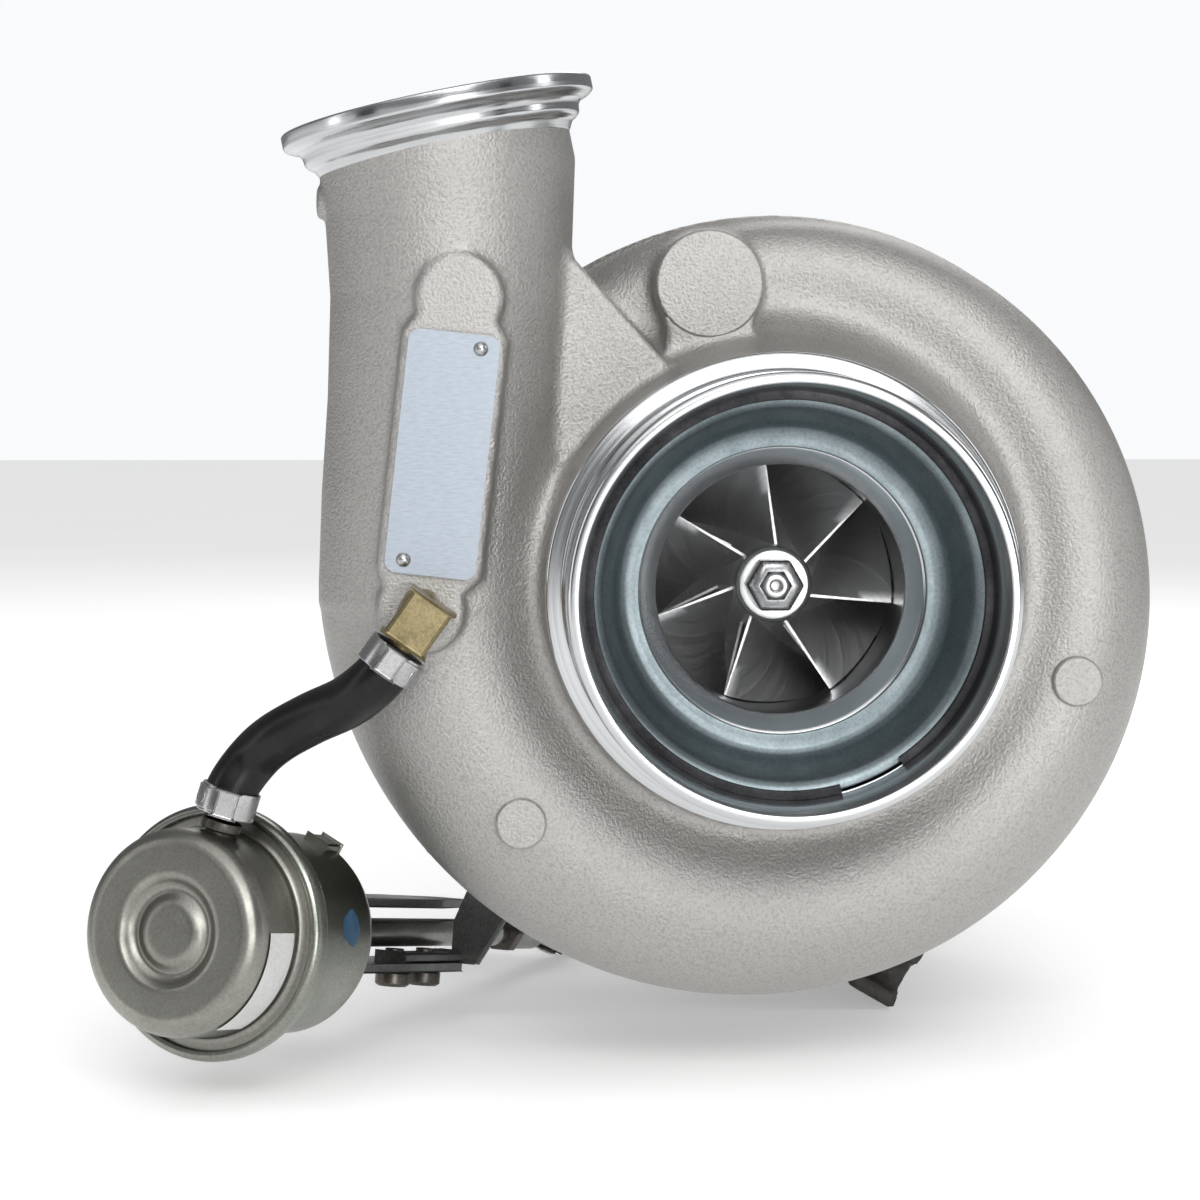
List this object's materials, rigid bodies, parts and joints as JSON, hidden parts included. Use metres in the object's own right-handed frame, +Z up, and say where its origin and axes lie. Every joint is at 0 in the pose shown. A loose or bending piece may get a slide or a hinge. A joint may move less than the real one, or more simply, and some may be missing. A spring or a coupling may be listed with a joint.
{
  "type": "turbocharger",
  "caption": "Wastegated turbocharger with a volute compressor cover, leaning outlet duct, bearing housing, twin-entry turbine housing, and a canister actuator that opens the wastegate by a rod.",
  "frame": {"origin": "centre of the turbine inlet flange's face, on the divider between its two ports", "axes": "-Y is the way the compressor inlet faces and the shaft runs along Y; +Z is up, the way the oil inlet faces; +X is the turbine inlet's side"},
  "size_m": [0.2595, 0.269, 0.2451],
  "materials": {
    "cast_aluminium": "sand-cast, satin",
    "plate_aluminium": "brushed",
    "wheel_aluminium": "machined",
    "zinc_plate": "blue zinc plate",
    "yellow_zinc": "yellow zinc plate",
    "machined_steel": "machined",
    "dark_steel": "black oxide",
    "clamp_steel": "bright",
    "bracket_steel": "dark coated",
    "heat_steel": "heat tinted",
    "cast_iron": "rough cast",
    "turbine_alloy": "cast nickel alloy",
    "bronze": "machined bronze",
    "brass": "dull",
    "rubber": "matt"
  },
  "bodies": {
    "housing": {"compressor_cover": "cast_aluminium", "inlet_baffle": "zinc_plate", "inlet_snap_ring": "dark_steel", "compressor_v_band": "dark_steel", "compressor_v_band_bolt": "dark_steel", "compressor_v_band_nut": "dark_steel", "bearing_circlip_front": "dark_steel", "bearing_circlip_rear": "dark_steel", "oil_baffle": "dark_steel", "actuator_nut_upper": "dark_steel", "actuator_nut_lower": "dark_steel", "leg_bolt_lower": "dark_steel", "leg_bolt_upper": "dark_steel", "bracket_screw_front": "dark_steel", "bracket_screw_rear": "dark_steel", "hose_nipple": "dark_steel", "nameplate": "plate_aluminium", "nameplate_rivet_top": "clamp_steel", "nameplate_rivet_bottom": "clamp_steel", "hose_clamp_upper": "clamp_steel", "hose_clamp_lower": "clamp_steel", "turbine_v_band": "heat_steel", "turbine_v_band_bolt": "heat_steel", "turbine_v_band_nut": "heat_steel", "heat_shield": "heat_steel", "compressor_backplate": "cast_iron", "bearing_housing": "cast_iron", "turbine_housing": "cast_iron", "backplate_o_ring": "rubber", "boost_hose": "rubber", "thrust_bearing": "bronze", "wastegate_bush": "bronze", "rod_guide": "bronze", "actuator_cap": "yellow_zinc", "actuator_can": "yellow_zinc", "actuator_bracket": "bracket_steel", "bracket_leg": "bracket_steel", "elbow_fitting": "brass"},
    "rotor": {"shaft": "machined_steel", "turbine_wheel": "turbine_alloy", "compressor_wheel": "wheel_aluminium", "compressor_nut": "dark_steel", "oil_slinger": "machined_steel", "thrust_collar": "machined_steel", "compressor_seal_ring": "dark_steel", "turbine_seal_ring": "dark_steel"},
    "front_bearing": {"journal_bearing_front": "bronze"},
    "rear_bearing": {"journal_bearing_rear": "bronze"},
    "rod": {"actuator_rod": "machined_steel", "rod_locknut": "dark_steel", "rod_end": "machined_steel", "spring_cup": "dark_steel", "diaphragm": "rubber", "actuator_spring": "machined_steel"},
    "lever": {"wastegate_lever": "dark_steel", "wastegate_shaft": "heat_steel", "wastegate_arm": "heat_steel", "wastegate_valve": "heat_steel", "lever_pin": "machined_steel", "rod_clip": "dark_steel"}
  },
  "joints": [
    {"name": "rotor_spin", "type": "hinge", "parent": "housing", "child": "rotor", "pos_m": [-0.061, -0.0985, 0.08834], "axis": [0, 1, 0], "continuous": true},
    {"name": "front_bearing_spin", "type": "hinge", "parent": "housing", "child": "front_bearing", "pos_m": [-0.061, -0.0985, 0.08834], "axis": [0, 1, 0], "continuous": true},
    {"name": "rear_bearing_spin", "type": "hinge", "parent": "housing", "child": "rear_bearing", "pos_m": [-0.061, -0.0985, 0.08834], "axis": [0, 1, 0], "continuous": true},
    {"name": "rod_slide", "type": "slide", "parent": "housing", "child": "rod", "axis": [0.447, 0.8775, -0.1736], "range_m": [0, 0.012], "stiffness_N_per_m": 3500, "springref_m": -0.006, "deforming": ["actuator_spring", "diaphragm"]},
    {"name": "wastegate_swing", "type": "hinge", "parent": "housing", "child": "lever", "pos_m": [-0.14352, 0.04965, -0.01309], "axis": [0.399, -0.0219, 0.9167], "range_deg": [0, 15.99]}
  ],
  "couplings": [
    {"joint": "wastegate_swing", "follows": "rod_slide", "rad_per_m": 23.256}
  ]
}
